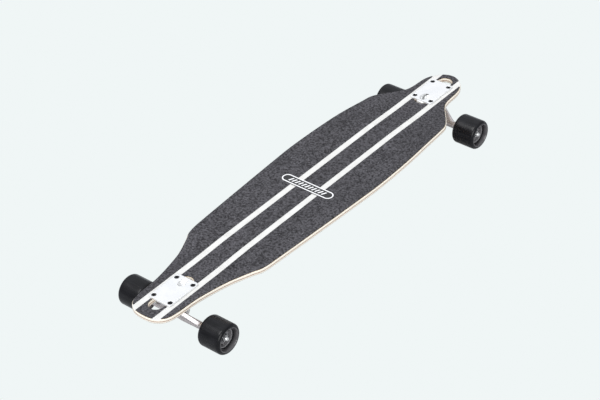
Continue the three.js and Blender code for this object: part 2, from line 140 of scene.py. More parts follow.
def basis(direction):
    """Two unit vectors square to a direction and to each other."""
    d = Vector(direction).normalized()
    side = Vector((1, 0, 0)) if abs(d.x) < 0.9 else Vector((0, 1, 0))
    u = d.cross(side).normalized()
    return d, u, d.cross(u)


def turned(name, profile, origin, direction, segments=64, closed=True):
    """A body turned about an axis. profile holds (along, radius) points: a closed section of a
    ring, or with closed=False a section that starts and ends on the axis."""
    d, u, w = basis(direction)
    o = Vector(origin)
    points, faces, count = [], [], len(profile)
    for i in range(segments):
        angle = 2 * math.pi * i / segments
        out = u * math.cos(angle) + w * math.sin(angle)
        points += [o + d * along + out * radius for along, radius in profile]
    steps = count if closed else count - 1
    for i in range(segments):
        for j in range(steps):
            a, b = i * count + j, i * count + (j + 1) % count
            c = (i + 1) % segments * count
            faces.append((a, b, c + (j + 1) % count, c + j))
    obj = solid(name, points, faces)
    if not closed:
        bm = bmesh.new()
        bm.from_mesh(obj.data)
        bmesh.ops.dissolve_degenerate(bm, dist=1e-8, edges=bm.edges)
        bm.to_mesh(obj.data)
        bm.free()
    return obj


def prism(name, outline, low, high):
    """A flat outline of (x, y) points as a plate from low to high."""
    return loft(name, [[(x, y, z) for x, y in outline] for z in (low, high)])


def bar(name, radius, start, end, segments=48, end_radius=None):
    """A round bar or cone between two points."""
    a, b = Vector(start), Vector(end)
    d, u, w = basis(b - a)
    rings = []
    for centre, r in ((a, radius), (b, radius if end_radius is None else end_radius)):
        ring = []
        for i in range(segments):
            angle = 2 * math.pi * i / segments
            ring.append(centre + (u * math.cos(angle) + w * math.sin(angle)) * r)
        rings.append(ring)
    return loft(name, rings)


def freeze(obj):
    """Applies the object's modifiers to its mesh."""
    dg = bpy.context.evaluated_depsgraph_get()
    mesh = bpy.data.meshes.new_from_object(obj.evaluated_get(dg))
    obj.modifiers.clear()
    obj.data = mesh
    return obj


def merge(obj, *others):
    """Adds the others' meshes to obj's, as loose shells, and removes them."""
    bm = bmesh.new()
    for o in (obj, *others):
        bm.from_mesh(o.data)
    bm.to_mesh(obj.data)
    bm.free()
    for o in others:
        bpy.data.objects.remove(o)
    return obj


def boolean(obj, operation, *tools):
    """Joins tools to obj or cuts them from it, one after another, and removes them."""
    for tool in tools:
        mod = obj.modifiers.new("cut", "BOOLEAN")
        mod.operation = operation
        mod.solver = "EXACT"
        mod.object = tool
        freeze(obj)
        bpy.data.objects.remove(tool)
    return obj


def cut(obj, *tools):
    return boolean(obj, "DIFFERENCE", *tools)


def cast(obj, voxel):
    """Fuses overlapping shells into one skin with the soft edges of a casting."""
    mod = obj.modifiers.new("fuse", "REMESH")
    mod.mode = "VOXEL"
    mod.voxel_size = voxel * MM
    mod.use_smooth_shade = True
    soft = obj.modifiers.new("soften", "SMOOTH")
    soft.iterations = 5
    soft.factor = 0.5
    return freeze(obj)


def bevelled(obj, width):
    """Rounds the hard edges."""
    mod = obj.modifiers.new("bevel", "BEVEL")
    mod.width = width * MM
    mod.segments = 3
    mod.limit_method = "ANGLE"
    mod.angle_limit = math.radians(32)
    mod.use_clamp_overlap = True
    return freeze(obj)


def stamp(name, prototype, matrix):
    """A copy of a prototype's mesh, moved by a matrix in metres."""
    mesh = prototype.data.copy()
    mesh.transform(matrix)
    return link(name, mesh)


def surface(obj, sharp, *materials):
    """Adds materials and shades a piece smooth, but for edges of more than sharp degrees."""
    for material in materials:
        obj.data.materials.append(material)
    for polygon in obj.data.polygons:
        polygon.use_smooth = True
    obj.data.set_sharp_from_angle(angle=math.radians(sharp))


def place(obj, body, slot, material, *nodes, sharp=35):
    """Finishes a piece: its shading, material, body and the CAD nodes it stands for. The slot
    argument is not used. A material of None leaves the ones that it has."""
    surface(obj, sharp, *([material] if material else []))
    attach(obj, body)
    if nodes:
        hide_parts(*nodes)
    return obj


# ---- node kit for materials ----


class Shader:
    """A Principled material built from nodes, with short calls for the nodes used here."""

    def __init__(self, name, roughness=0.5, metallic=0.0):
        self.material = bpy.data.materials.new(name)
        self.material.use_nodes = True
        self.tree = self.material.node_tree
        self.tree.nodes.clear()
        self.surface = self.node("ShaderNodeBsdfPrincipled")
        output = self.node("ShaderNodeOutputMaterial")
        self.wire(self.surface.outputs[0], output.inputs["Surface"])
        self.set("Roughness", roughness)
        self.set("Metallic", metallic)
        self.place = self.node("ShaderNodeTexCoord").outputs["Object"]

    def node(self, kind):
        return self.tree.nodes.new(kind)

    def wire(self, source, target):
        self.tree.links.new(source, target)

    def feed(self, socket, value):
        """Puts a number, a colour or another node's output into a socket."""
        if isinstance(value, bpy.types.NodeSocket):
            self.wire(value, socket)
        elif isinstance(value, (tuple, list)) and len(socket.default_value) == 4:
            socket.default_value = (*value[:3], 1)
        else:
            socket.default_value = value

    def set(self, name, value):
        self.feed(self.surface.inputs[name], value)

    def scaled(self, x, y=None, z=None):
        """Object coordinates times a scale, in waves per millimetre."""
        node = self.node("ShaderNodeMapping")
        y, z = x if y is None else y, x if z is None else z
        node.inputs["Scale"].default_value = (x / MM, y / MM, z / MM)
        self.wire(self.place, node.inputs["Vector"])
        return node.outputs[0]

    def noise(self, vector, detail=3.0, roughness=0.5, distortion=0.0):
        node = self.node("ShaderNodeTexNoise")
        self.wire(vector, node.inputs["Vector"])
        node.inputs["Scale"].default_value = 1
        node.inputs["Detail"].default_value = detail
        node.inputs["Roughness"].default_value = roughness
        node.inputs["Distortion"].default_value = distortion
        return node.outputs["Fac"]

    def cells(self, vector):
        node = self.node("ShaderNodeTexVoronoi")
        self.wire(vector, node.inputs["Vector"])
        node.inputs["Scale"].default_value = 1
        return node

    def math(self, operation, a, b=0.0):
        node = self.node("ShaderNodeMath")
        node.operation = operation
        self.feed(node.inputs[0], a)
        self.feed(node.inputs[1], b)
        return node.outputs[0]

    def ramp(self, value, stops, interpolation="LINEAR"):
        """A colour ramp through (position, colour) stops."""
        node = self.node("ShaderNodeValToRGB")
        node.color_ramp.interpolation = interpolation
        elements = node.color_ramp.elements
        while len(elements) < len(stops):
            elements.new(0.5)
        for element, (position, colour) in zip(elements, stops):
            element.position = position
            colour = (colour,) * 3 if isinstance(colour, (int, float)) else colour
            element.color = (*colour, 1)
        self.feed(node.inputs["Fac"], value)
        return node.outputs["Color"]

    def mix(self, factor, a, b, blend="MIX"):
        """A mix of two colours, which are a mix node's inputs 6 and 7."""
        node = self.node("ShaderNodeMix")
        node.data_type = "RGBA"
        node.blend_type = blend
        self.feed(node.inputs["Factor"], factor)
        self.feed(node.inputs[6], a)
        self.feed(node.inputs[7], b)
        return node.outputs[2]

    def axis(self, letter):
        """One object coordinate, in millimetres."""
        node = self.node("ShaderNodeSeparateXYZ")
        self.wire(self.place, node.inputs[0])
        return self.math("MULTIPLY", node.outputs[letter], 1 / MM)

    def attribute(self, name):
        node = self.node("ShaderNodeAttribute")
        node.attribute_name = name
        return node.outputs["Fac"]

    def bump(self, height, depth, strength):
        """Bump from a height of 0 to 1 that stands for depth millimetres."""
        node = self.node("ShaderNodeBump")
        node.inputs["Strength"].default_value = strength
        node.inputs["Distance"].default_value = depth * MM
        self.feed(node.inputs["Height"], height)
        self.set("Normal", node.outputs[0])


# ---- materials ----


def grip_material():
    """Coarse black abrasive: grains about 0.7 mm across, a few grains painted lighter as glints, and
    soft scuffs.
    """
    s = Shader("grip_tape", roughness=0.86)
    grain = s.noise(s.scaled(1.5), detail=4, roughness=0.75)
    grit = s.cells(s.scaled(1.1))
    mottle = s.noise(s.scaled(0.22), detail=3, roughness=0.75)
    scuff = s.noise(s.scaled(0.02, 0.006), detail=3)
    tone = s.ramp(grain, [(0.3, (0.020, 0.019, 0.022)), (0.72, (0.086, 0.084, 0.090))])
    patch = s.ramp(mottle, [(0.38, (0.24, 0.23, 0.24)), (0.62, (1.92, 1.91, 1.93))])
    tone = s.mix(1.0, tone, patch, "MULTIPLY")
    worn = s.ramp(scuff, [(0.35, 0.86), (0.7, 1.2)])
    tone = s.mix(1.0, tone, worn, "MULTIPLY")
    # Painted glints: a few grains get a light grey base colour that stands in for their sparkle.
    painted_glint = s.ramp(grit.outputs["Color"], [(0.93, 0.0), (0.98, 1.0)])
    s.set("Base Color", s.mix(painted_glint, tone, (0.32, 0.32, 0.34)))
    s.set("Specular IOR Level", 0.35)
    height = s.math("ADD", s.math("MULTIPLY", grit.outputs["Distance"], 0.6), grain)
    s.bump(height, 0.35, 0.9)
    return s.material


def deck_material():
    """Maple ply: a grained top with two white painted bands, and plies along the edge."""
    s = Shader("deck_wood", roughness=0.42)
    depth = s.attribute("ply_depth")
    fibre = s.noise(s.scaled(0.5, 0.018, 0.5), detail=4, roughness=0.6, distortion=0.3)
    figure = s.noise(s.scaled(0.05, 0.004, 0.3), detail=2)
    maple = s.ramp(fibre, [(0.3, (0.60, 0.44, 0.26)), (0.7, (0.83, 0.68, 0.47))])
    maple = s.mix(s.ramp(figure, [(0.35, 0.0), (0.7, 0.35)]), maple, (0.70, 0.50, 0.30))
    pale, pink, dark = (0.97, 0.92, 0.80), (0.88, 0.74, 0.60), (0.30, 0.15, 0.11)
    plies = s.ramp(depth, [
        (0.0, pale), (0.18, pink), (0.21, pale), (0.34, pink), (0.44, dark), (0.55, pink),
        (0.62, pale), (0.84, dark), (0.89, pale),
    ], "CONSTANT")
    end_grain = s.noise(s.scaled(0.9, 0.9, 3.0), detail=3)
    plies = s.mix(1.0, plies, s.ramp(end_grain, [(0.3, 0.82), (0.7, 1.06)]), "MULTIPLY")
    on_edge = s.math("MULTIPLY", s.math("GREATER_THAN", depth, 0.035),
                     s.math("LESS_THAN", depth, 0.965))
    wood = s.mix(on_edge, maple, plies)
    across = s.math("ABSOLUTE", s.axis("X"))
    band = s.math("MULTIPLY", s.math("GREATER_THAN", across, STRIPE_INNER - 1.5),
                  s.math("LESS_THAN", across, STRIPE_OUTER + 1.5))
    painted = s.math("MULTIPLY", band, s.math("LESS_THAN", depth, 0.05))
    paint_wear = s.noise(s.scaled(0.06), detail=5)
    paint = s.ramp(paint_wear, [(0.3, (0.68, 0.67, 0.64)), (0.7, (0.77, 0.765, 0.74))])
    s.set("Base Color", s.mix(painted, wood, paint))
    s.set("Coat Weight", 0.35)
    s.set("Coat Roughness", 0.25)
    s.bump(fibre, 0.08, 0.35)
    return s.material


def cast_material(name, low, high, metallic):
    """Satin aluminium casting with a faint orange peel."""
    s = Shader(name, metallic=metallic)
    tone = s.noise(s.scaled(0.05), detail=3)
    s.set("Base Color", s.ramp(tone, [(0.3, low), (0.7, high)]))
    peel = s.noise(s.scaled(1.1), detail=2, roughness=0.5)
    s.set("Roughness", s.ramp(peel, [(0.3, 0.36), (0.7, 0.46)]))
    s.bump(peel, 0.03, 0.4)
    return s.material


def steel_material(name, tone, roughness):
    """Plated or ground steel, slightly uneven in tone and sheen."""
    s = Shader(name, metallic=1.0)
    cloud = s.noise(s.scaled(0.25), detail=3)
    low = tuple(0.9 * c for c in tone)
    s.set("Base Color", s.ramp(cloud, [(0.3, low), (0.7, tone)]))
    s.set("Roughness", s.ramp(cloud, [(0.3, roughness), (0.7, roughness + 0.08)]))
    s.bump(s.noise(s.scaled(3.0), detail=2), 0.006, 0.3)
    return s.material


def black_steel_material():
    """Black oxide on the deck bolts."""
    s = Shader("black_steel", metallic=0.7)
    wear = s.noise(s.scaled(0.9), detail=4)
    s.set("Base Color", s.ramp(wear, [(0.45, (0.018, 0.018, 0.02)), (0.8, (0.08, 0.08, 0.085))]))
    s.set("Roughness", s.ramp(wear, [(0.3, 0.32), (0.7, 0.5)]))
    return s.material


def tyre_material():
    """Satin black urethane: faintly clouded, with lighter axial streaks on the tread that are part
    dust and part painted highlight, and a glossier lip whose lighter colour is a painted highlight.
    """
    s = Shader("tyre_urethane")
    cloud = s.noise(s.scaled(0.05), detail=3)
    tone = s.ramp(cloud, [(0.3, (0.003, 0.003, 0.004)), (0.75, (0.007, 0.007, 0.009))])
    # Lighter grey streaks along the axle on the tread: part dust, part painted highlight streaks.
    streak = s.noise(s.scaled(0.02, 0.25, 0.25), detail=3)
    dust_and_highlight_streaks = s.math("MULTIPLY", s.attribute("tread"), s.ramp(streak, [(0.45, 0.0), (0.8, 0.08)]))
    lip = s.attribute("lip")
    # Painted highlight: the lip ring's base colour is lifted to a lighter grey; its lower roughness
    # and higher specular below are real gloss.
    tone = s.mix(lip, tone, (0.085, 0.08, 0.083))
    s.set("Base Color", s.mix(dust_and_highlight_streaks, tone, (0.11, 0.11, 0.12)))
    matt = s.ramp(cloud, [(0.3, 0.20), (0.7, 0.30)])
    s.set("Roughness", s.mix(lip, matt, (0.18, 0.18, 0.18)))
    s.set("Specular IOR Level", s.math("ADD", s.math("MULTIPLY", lip, 0.42), 0.24))
    s.bump(s.noise(s.scaled(0.6), detail=2), 0.02, 0.3)
    return s.material


def core_material():
    """Dark grey glass-filled nylon with a fine sparkle."""
    s = Shader("wheel_core", roughness=0.4)
    fleck = s.noise(s.scaled(1.8), detail=3, roughness=0.7)
    s.set("Base Color", s.ramp(fleck, [(0.35, (0.14, 0.135, 0.14)), (0.75, (0.30, 0.295, 0.30))]))
    s.bump(fleck, 0.05, 0.4)
    return s.material


def bushing_material():
    """Cream urethane that lets a little light through."""
    s = Shader("bushing_urethane", roughness=0.38)
    cloud = s.noise(s.scaled(0.15), detail=3)
    s.set("Base Color", s.ramp(cloud, [(0.3, (0.72, 0.66, 0.52)), (0.7, (0.86, 0.82, 0.70))]))
    s.set("Subsurface Weight", 0.25)
    s.set("Subsurface Radius", (0.004, 0.003, 0.002))
    s.bump(cloud, 0.05, 0.3)
    return s.material


def plastic_material(name, low, high, roughness):
    """A plain moulded or printed surface with slight unevenness."""
    s = Shader(name, roughness=roughness)
    cloud = s.noise(s.scaled(0.35), detail=4)
    s.set("Base Color", s.ramp(cloud, [(0.3, low), (0.7, high)]))
    s.bump(s.noise(s.scaled(1.2), detail=2), 0.03, 0.4)
    return s.material


GRIP_TAPE = grip_material()
DECK_WOOD = deck_material()
# One cast aluminium in two tones: the hanger's darker, pinker base colour is painted shade, and the
# plate's lighter one is painted light.
HANGER_CAST_SHADED = cast_material("cast_hanger_painted_shade", (0.58, 0.54, 0.54), (0.70, 0.66, 0.66), 0.85)
PLATE_CAST_LIT = cast_material("cast_plate_painted_light", (0.80, 0.81, 0.82), (0.87, 0.87, 0.87), 0.4)
BRIGHT = steel_material("bright_steel", (0.78, 0.78, 0.77), 0.2)
GROUND = steel_material("bearing_steel", (0.62, 0.62, 0.63), 0.24)
BLACK_STEEL = black_steel_material()
SHIELD = steel_material("bearing_shield", (0.10, 0.10, 0.11), 0.35)
TYRE = tyre_material()
CORE = core_material()
BUSHING = bushing_material()
CUP = plastic_material("cup_plastic", (0.018, 0.018, 0.018), (0.04, 0.04, 0.04), 0.5)
BADGE_BLACK = plastic_material("badge_black", (0.012, 0.012, 0.014), (0.03, 0.03, 0.03), 0.35)
BADGE_WHITE = plastic_material("badge_white", (0.84, 0.84, 0.84), (0.93, 0.93, 0.93), 0.4)


# ---- deck ----


def curving(y):
    """How much camber and concave is left: 1 in the middle of the board, 0 at the trucks."""
    t = min(max((FLAT_FROM - abs(y)) / (FLAT_FROM - CURVED_TO), 0), 1)
    return t * t * (3 - 2 * t)


def top_z(x, y):
    """The height of the deck's top face."""
    return DECK_TOP + (CAMBER + CONCAVE * (x / WIDEST) ** 2) * curving(y)


def spline(knots, steps):
    """Points along a uniform Catmull-Rom curve through the knots."""
    p = np.array(knots, float)
    p = np.vstack([p[0], p, p[-1]])
    points = []
    for i in range(1, len(p) - 2):
        for t in np.linspace(0, 1, steps, endpoint=False):
            a, b = (p[i + 1] - p[i - 1]) / 2, (p[i + 2] - p[i]) / 2
            points.append(
                (2 * p[i] - 2 * p[i + 1] + a + b) * t**3
                + (-3 * p[i] + 3 * p[i + 1] - 2 * a - b) * t**2 + a * t + p[i]
            )
    return np.array(points + [p[-1]])


def edge_points(spacing):
    """The right-hand edge from tail to nose, as evenly spaced (half width, y) points."""
    nose = [
        (NOSE_HALF_WIDTH * math.cos(a), NOSE_FROM + NOSE_LENGTH * math.sin(a))
        for a in np.radians(np.arange(15, 90, 15))
    ]
    fine = spline([*EDGE_KNOTS, *nose, (4, NOSE_FROM + NOSE_LENGTH)], 24)
    length = np.r_[0, np.cumsum(np.hypot(*np.diff(fine, axis=0).T))]
    at = np.linspace(0, length[-1], int(length[-1] / spacing) + 1)
    return np.c_[np.interp(at, length, fine[:, 0]), np.interp(at, length, fine[:, 1])]


def whole_outline(spacing):
    """The board's outline, anticlockwise from the tail's right, and its outward normals."""
    right = edge_points(spacing)
    points = np.vstack([right, right[::-1] * (-1, 1)])
    along = np.roll(points, -1, axis=0) - np.roll(points, 1, axis=0)
    normals = np.c_[along[:, 1], -along[:, 0]] / np.linalg.norm(along, axis=1)[:, None]
    return points, normals


def inset_edge(spacing, inset):
    """The right-hand edge moved in square to itself, from tail to nose, as (half width, y)."""
    points, normals = whole_outline(spacing)
    return (points - inset * normals)[: len(points) // 2]


def arc(centre, radius, start, end, steps=8):
    """Points on an arc, in degrees, as (x, y)."""
    return [
        (centre[0] + radius * math.cos(a), centre[1] + radius * math.sin(a))
        for a in np.radians(np.linspace(start, end, steps))
    ]


def opening_outline(margin):
    """The truck's slot about the baseplate centre, as (across, outboard) points."""
    outer = arc((0, OPENING_OUTER - OPENING_HALF), OPENING_HALF + margin, 0, 180, 25)
    inner = arc((0, OPENING_INNER + OPENING_HALF), OPENING_HALF + margin, 180, 360, 25)
    return [*outer, *inner]


def opening_cutter(sign):
    """The cut-out as a solid, with its rims rounded over."""
    soft = 1.0
    levels = [(2, soft), (0, soft), (-0.3 * soft, 0.3 * soft), (-soft, 0)]
    levels += [(-DECK_THICKNESS - z, m) for z, m in reversed(levels)]
    rings = []
    for z, margin in levels:
        rings.append([
            (sign * x, sign * (TRUCK_CENTRE + v), DECK_TOP + z)
            for x, v in opening_outline(margin)
        ])
    return loft("opening", rings)


def on_board(obj):
    """Moves a mesh that was drawn about the middle between the trucks into the row frame."""
    obj.data.transform(Matrix.Translation((0, MIDDLE_Y * MM, 0)))
    return obj


def deck_body():
    """The ply board as a mesh: rings round the edge, and rows across the two faces."""
    points, normals = whole_outline(4.5)
    corner = [(DECK_EDGE * (1 - math.sin(a)), DECK_EDGE * (1 - math.cos(a)))
              for a in np.radians([0, 22.5, 45, 67.5, 90])]
    profile = corner + [(inset, DECK_THICKNESS - down) for inset, down in reversed(corner)]
    count, rows = len(points), len(points) // 2
    vertices, faces = [], []
    for inset, down in profile:
        vertices += [(x, y, top_z(x, y) - down) for x, y in points - inset * normals]
    for ring in range(len(profile) - 1):
        for i in range(count):
            a, b = ring * count + i, ring * count + (i + 1) % count
            faces.append((a, b, b + count, a + count))
    for ring, down in ((0, 0.0), (len(profile) - 1, DECK_THICKNESS)):
        lines = []
        for i in range(rows):
            right, left = ring * count + i, ring * count + count - 1 - i
            half, y = vertices[right][0], vertices[right][1]
            inner = range(0)
            if 0 < i < rows - 1:
                inner = range(len(vertices), len(vertices) + 11)
                vertices += [
                    (x, y, top_z(x, y) - down) for x in np.linspace(-half, half, 13)[1:-1]
                ]
            lines.append([left, *inner, right])
        for near, far in zip(lines, lines[1:]):
            if len(near) == len(far):
                faces += [
                    (near[k], near[k + 1], far[k + 1], far[k]) for k in range(len(near) - 1)
                ]
            else:
                faces.append((*near, *reversed(far)))
    return solid("deck_board", vertices, faces)


def deck_board():
    board = deck_body()
    for sign in ENDS.values():
        holes = [
            bar("hole", BOLT_HOLE, (i * BOLT_X, sign * TRUCK_CENTRE + j * BOLT_V, DECK_TOP - 12),
                (i * BOLT_X, sign * TRUCK_CENTRE + j * BOLT_V, DECK_TOP + 2), 32)
            for i in (-1, 1) for j in (-1, 1)
        ]
        cut(board, merge(opening_cutter(sign), *holes))
    depth = board.data.attributes.new("ply_depth", "FLOAT", "POINT")
    depth.data.foreach_set("value", [
        min(max((top_z(v.co.x / MM, v.co.y / MM) - v.co.z / MM) / DECK_THICKNESS, 0), 1)
        for v in board.data.vertices
    ])
    return place(on_board(board), "board", "deck_wood", DECK_WOOD, "deck")


# ---- grip ----


def grip_ring(start, end, y, across=12):
    """One cross-section of a grip strip, with its two edges rolled down."""
    roll = min(0.5, (end - start) / 4)
    inner = np.linspace(start + roll, end - roll, across)
    top = [(start, 0.5), (start + 0.3 * roll, 0.85), *[(x, 1.0) for x in inner],
           (end - 0.3 * roll, 0.85), (end, 0.5)]
    upper = [(x, y, top_z(x, y) + GRIP_HEIGHT * h) for x, h in top]
    lower = [(x, y, top_z(x, y) + 0.03) for x, _ in reversed(top)]
    return upper + lower


def grip_strips():
    stations = [(half, y) for half, y in inset_edge(4.5, GRIP_INSET) if half > STRIPE_OUTER + 0.4]
    for name, side in HANDS.items():
        rings = [
            [(side * x, y, z) for x, y, z in grip_ring(STRIPE_OUTER, half, y)]
            for half, y in stations
        ]
        sheet = on_board(loft(f"grip_sheet_{name}", rings))
        place(sheet, "board", "grip_tape", GRIP_TAPE, f"grip_{name}")


def plate_outline(margin=0.0):
    """The baseplate's outline about its centre, as (across, outboard) points."""
    half, corner = PLATE_HALF_WIDTH + margin, PLATE_CORNER
    inner, outer = PLATE_INNER - margin, PLATE_OUTER + margin
    return [
        *arc((half - corner, inner + corner), corner, -90, 0),
        *arc((half - corner, outer - corner), corner, 0, 90),
        *arc((corner - half, outer - corner), corner, 90, 180),
        *arc((corner - half, inner + corner), corner, 180, 270),
    ]


def trim_grip(strip):
    """Cuts a grip strip back round the slots and the baseplates."""
    for sign in ENDS.values():
        for outline in (plate_outline(0.8), opening_outline(0.8)):
            at = [(sign * x, sign * (TRUCK_CENTRE + v)) for x, v in outline]
            cut(strip, prism("notch", at, DECK_TOP - 2, DECK_TOP + 6))
    return on_board(strip)


def centre_grip():
    reach = TRUCK_CENTRE + PLATE_INNER + 2
    ys = np.linspace(-reach, reach, 160)
    strip = loft("grip_sheet_centre", [grip_ring(-STRIPE_INNER, STRIPE_INNER, y, 10) for y in ys])
    place(trim_grip(strip), "board", "grip_tape", GRIP_TAPE, "grip_centre")


def end_grips():
    """The two patches between the stripes, from outboard of each baseplate to the board's tip."""
    start = TRUCK_CENTRE + PLATE_OUTER - 1
    edge = inset_edge(1.5, GRIP_INSET)
    for name, sign in ENDS.items():
        rings = [
            grip_ring(-min(STRIPE_INNER, half), min(STRIPE_INNER, half), y, 8)
            for half, y in edge if sign * y > start
        ]
        patch = trim_grip(loft(f"grip_patch_{name}", rings))
        place(patch, "board", "grip_tape", GRIP_TAPE)


# ---- badge ----


def badge():
    """A plain capsule across the middle of the board, hatched, with no lettering."""
    centre_y, half_length, radius = -11.0, 64.0, 12.0
    base = max(top_z(0, centre_y), top_z(half_length, centre_y)) + GRIP_HEIGHT

    def capsule(margin):
        r = radius + margin
        straight = half_length - radius
        right = arc((straight, centre_y), r, -90, 90, 20)
        left = arc((-straight, centre_y), r, 90, 270, 20)
        return [*right, *left]

    plate = bevelled(prism("badge_plate", capsule(0), base - 0.4, base + 0.35), 0.25)
    rim = prism("badge_marks", capsule(-0.4), base + 0.3, base + 0.6)
    cut(rim, prism("hollow", capsule(-3.0), base, base + 1))
    bars = []
    for k in range(-5, 6):
        x, reach, lean, width = 8.4 * k, 5.2, 2.6, 3.4
        outline = [
            (x - lean - width / 2, centre_y - reach), (x - lean + width / 2, centre_y - reach),
            (x + lean + width / 2, centre_y + reach), (x + lean - width / 2, centre_y + reach),
        ]
        bars.append(prism("bar", outline, base + 0.3, base + 0.6))
    place(on_board(plate), "board", "cup_plastic", BADGE_BLACK)
    place(on_board(merge(rim, *bars)), "board", "deck_wood", BADGE_WHITE)


# ---- trucks ----

STEER_JOINT = JOINTS["front_truck_steer"]
STEER = Vector(STEER_JOINT["axis"])
DOWN = STEER.cross(Vector((1, 0, 0)))
# Prototypes are made for the front truck, about the baseplate centre at the deck's top face.
STEER_POINT = Vector(STEER_JOINT["pos_m"]) / MM - Vector((0, MIDDLE_Y + TRUCK_CENTRE, DECK_TOP))
AXLE_POINT = STEER_POINT + DOWN * RAKE

# Places along the kingpin from the middle of the hanger's ring, with plus towards the road.
HEAD_FROM, HEAD_TO = -37.5, -31.15
BLOCK_SEAT, BOARDSIDE_FROM, RING_HALF, RING_SEAT = -19.5, -17.6, 4.5, 4.3
ROADSIDE_TO, LOCK_NUT_FROM, LOCK_NUT_TO, KINGPIN_END = 15.5, 17.4, 26.4, 29.5
BOARDSIDE_LENGTH, ROADSIDE_LENGTH = 13.2, 11.2
# Places along the steering axis from the steering point, with minus into the pivot.
SOCKET_MOUTH, SOCKET_END, TOWER_END = -9.8, -18.4, -20.0
TOWER_RADIUS, SOCKET_RADIUS, PIVOT_RADIUS = 9.6, 8.5, 5.7
BLOCK_HALF_WIDTH, STRUT_HALF_WIDTH, SEAT_RADIUS = 14.6, 7.0, 14.4


def truck_matrix(sign):
    turn = Matrix.Rotation(0 if sign > 0 else math.pi, 4, "Z")
    return Matrix.Translation(Vector((0, MIDDLE_Y + sign * TRUCK_CENTRE, DECK_TOP)) * MM) @ turn


def steer(along, down, across=0.0):
    """A point in the steering frame: along the axis, along the kingpin, and across."""
    return STEER_POINT + STEER * along + DOWN * down + Vector((across, 0, 0))


def on_kingpin(down):
    return steer(KINGPIN_AT, down)


def slab(name, profile, half_width):
    """A side profile of (outboard, up) points, as a slab across the board."""
    return loft(name, [[(x, v, z) for v, z in profile] for x in (-half_width, half_width)])


def convex(name, points):
    """The hull of a few points."""
    mesh = bpy.data.meshes.new(name)
    bm = bmesh.new()
    for p in points:
        bm.verts.new(Vector(p) * MM)
    hull = bmesh.ops.convex_hull(bm, input=bm.verts)
    bmesh.ops.delete(bm, geom=hull["geom_interior"] + hull["geom_unused"], context="VERTS")
    bmesh.ops.recalc_face_normals(bm, faces=bm.faces)
    bm.to_mesh(mesh)
    bm.free()
    return link(name, mesh)


def side_view(along, down):
    point = steer(along, down)
    return point.y, point.z


def baseplate_prototype():
    """A plate with a wedge that carries the kingpin's seat, and a strut down to the pivot."""
    seat_top = side_view(KINGPIN_AT + 15, BLOCK_SEAT)
    seat_foot = side_view(KINGPIN_AT - 14.5, BLOCK_SEAT)
    block = [(-44.5, 1), (11.8, 1), (11.4, -0.5), seat_top, seat_foot, (-39, seat_foot[1])]
    strut = [
        (-44, 0), seat_top, seat_foot, side_view(SOCKET_MOUTH, -11.5),
        side_view(SOCKET_MOUTH, TOWER_RADIUS), side_view(TOWER_END, TOWER_RADIUS),
        side_view(TOWER_END, -TOWER_RADIUS), (-38.6, seat_foot[1] - 8),
    ]
    body = prism("baseplate", plate_outline(), 0, PLATE_THICKNESS)
    half = BLOCK_HALF_WIDTH
    round_end = [*arc((0, BLOCK_ROUND_FROM), half, 180, 360, 24), (half, 20), (-half, 20)]
    wedge = slab("block", block, half)
    boolean(wedge, "INTERSECT", prism("end", round_end, -60, 3))
    tower = bar("tower", TOWER_RADIUS, steer(SOCKET_MOUTH, 0), steer(TOWER_END, 0))
    merge(body, wedge, slab("strut", strut, STRUT_HALF_WIDTH), tower)
    cast(body, 0.75)
    sunk = PLATE_THICKNESS + 0.3
    tools = [
        bar("kingpin_hole", KINGPIN_BORE, on_kingpin(BLOCK_SEAT + 6), on_kingpin(-33)),
        bar("pocket", 8.9, on_kingpin(-31), on_kingpin(-80)),
        bar("socket", SOCKET_RADIUS, steer(SOCKET_MOUTH + 2, 0), steer(SOCKET_END, 0)),
        bar("seat_face", SEAT_RADIUS, on_kingpin(BLOCK_SEAT), on_kingpin(BLOCK_SEAT + 12)),
        bar("mouth_face", 14, steer(SOCKET_MOUTH, 0), steer(SOCKET_MOUTH + 5, 0)),
    ]
    for i in (-1, 1):
        for j in (-1, 1):
            sink = [(-2, 0), (-2, BOLT_HOLE), (sunk - 3.2, BOLT_HOLE), (sunk, 6.0), (sunk, 0)]
            at = (i * BOLT_X, j * BOLT_V, 0)
            tools.append(turned("bolt_hole", sink, at, (0, 0, 1), 32, closed=False))
    return cut(body, *tools)


